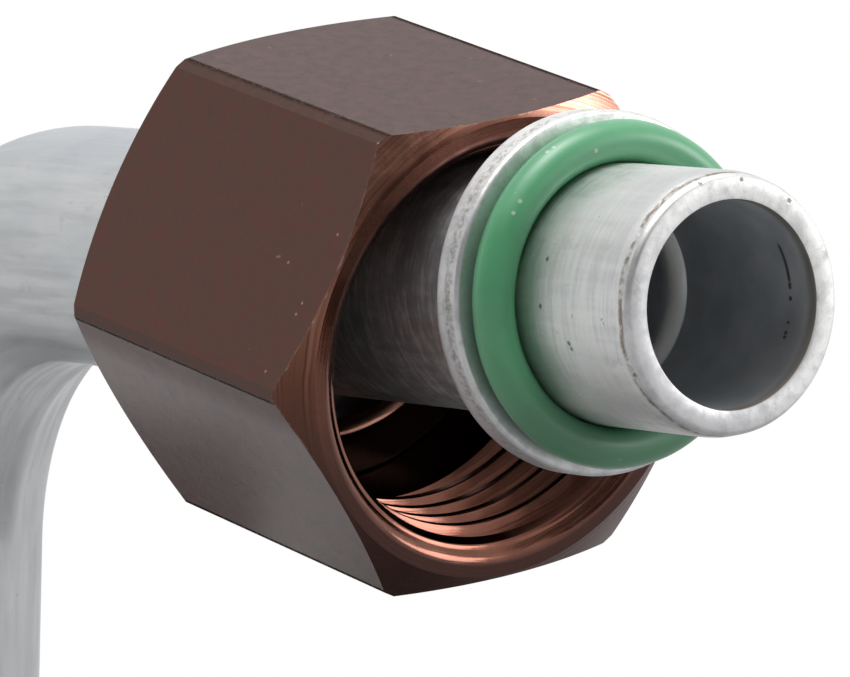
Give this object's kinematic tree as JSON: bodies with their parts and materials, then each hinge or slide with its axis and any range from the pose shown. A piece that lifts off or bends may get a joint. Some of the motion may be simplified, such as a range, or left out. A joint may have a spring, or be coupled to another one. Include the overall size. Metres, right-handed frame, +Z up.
{
  "type": "tube elbow fitting with captive nut",
  "caption": "Bent aluminium tube with a beaded end, a rubber sealing ring seated against the bead and a loose captive hex nut behind it.",
  "frame": {"origin": "centre of the tube's mouth, on its end face", "axes": "+X out of the mouth along the tube's straight run, +Z up, the elbow's leg runs down along -Z"},
  "size_m": [0.0851, 0.0293, 0.0478],
  "materials": {
    "tube_aluminium": "drawn tube, satin, with fine marks around it",
    "anodised_nut": "brown anodised bar, satin flats and turned ends",
    "seal_rubber": "moulded green nitrile rubber, lightly oiled"
  },
  "bodies": {
    "elbow": {"elbow_tube": "tube_aluminium"},
    "nut": {"hex_nut": "anodised_nut"},
    "seal": {"o_ring": "seal_rubber"}
  },
  "joints": [
    {"name": "nut_spin", "type": "hinge", "parent": "elbow", "child": "nut", "pos_m": [-0.0194, -0.00005, -0.00338], "axis": [0.9823, 0.0357, -0.184], "continuous": true},
    {"name": "seal_slide", "type": "slide", "parent": "elbow", "child": "seal", "axis": [1, 0, 0], "range_m": [0, 0.0125]}
  ]
}
